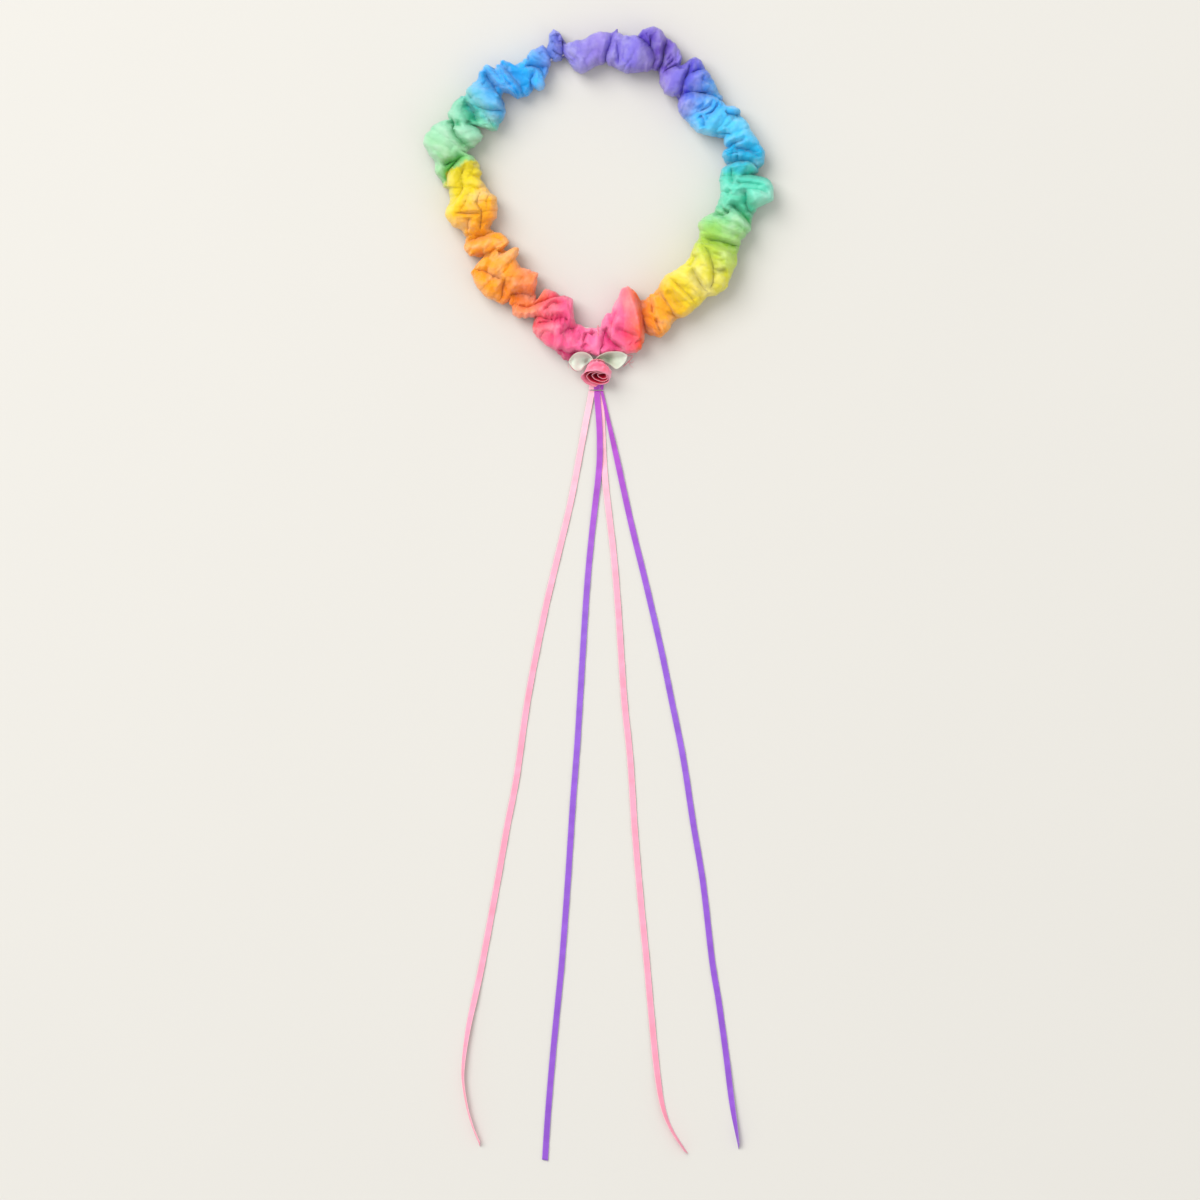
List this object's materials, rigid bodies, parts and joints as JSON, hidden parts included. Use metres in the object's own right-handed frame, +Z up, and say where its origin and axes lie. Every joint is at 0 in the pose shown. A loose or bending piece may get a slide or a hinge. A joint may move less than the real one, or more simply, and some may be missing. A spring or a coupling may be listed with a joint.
{
  "type": "silk head garland",
  "caption": "Head garland of dyed silk gathered on a hidden elastic loop, with a ribbon rose, ribbon leaves and long satin streamers hinged where they leave the rose.",
  "frame": {"origin": "on the surface it lies on, under the middle of the garland's box, measured without the streamers", "axes": "+Z up out of the surface that the garland lies on; +X to the right and +Y away from the streamers, which run towards -Y"},
  "size_m": [0.1828, 0.5995, 0.0206],
  "materials": {
    "dyed_silk": "light plain-weave silk, dip-dyed in rainbow bands round the ring, soft sheen",
    "elastic": "off-white covered round elastic",
    "thread": "pink sewing thread",
    "rose_satin": "rose-pink satin ribbon with a glossy face",
    "leaf_satin": "sage-green satin ribbon with a cream edge",
    "pink_satin": "pink satin ribbon",
    "purple_satin": "purple satin ribbon"
  },
  "bodies": {
    "garland": {"silk_sleeve": "dyed_silk", "sleeve_closing_stitch": "thread", "elastic_loop": "elastic", "elastic_stitch": "thread", "rose": "rose_satin", "rose_base_thread": "thread", "leaf_left": "leaf_satin", "leaf_right": "leaf_satin", "pink_fold": "pink_satin", "purple_fold": "purple_satin", "ribbon_tie": "thread", "thread_tail_left": "thread", "thread_tail_right": "thread"},
    "pink_left": {"pink_streamer_left": "pink_satin"},
    "pink_right": {"pink_streamer_right": "pink_satin"},
    "purple_left": {"purple_streamer_left": "purple_satin"},
    "purple_right": {"purple_streamer_right": "purple_satin"}
  },
  "joints": [
    {"name": "pink_left_lift", "type": "hinge", "parent": "garland", "child": "pink_left", "pos_m": [-0.00439, -0.09648, 0.00085], "axis": [-1, 0, 0], "range_deg": [-90, 100]},
    {"name": "pink_right_lift", "type": "hinge", "parent": "garland", "child": "pink_right", "pos_m": [0.00071, -0.09648, 0.00025], "axis": [-1, 0, 0], "range_deg": [-90, 30]},
    {"name": "purple_left_lift", "type": "hinge", "parent": "pink_right", "child": "purple_left", "pos_m": [-0.00059, -0.09648, 0.00085], "axis": [-1, 0, 0], "range_deg": [0, 80]},
    {"name": "purple_right_lift", "type": "hinge", "parent": "pink_right", "child": "purple_right", "pos_m": [0.00291, -0.09648, 0.00085], "axis": [-1, 0, 0], "range_deg": [0, 80]}
  ]
}
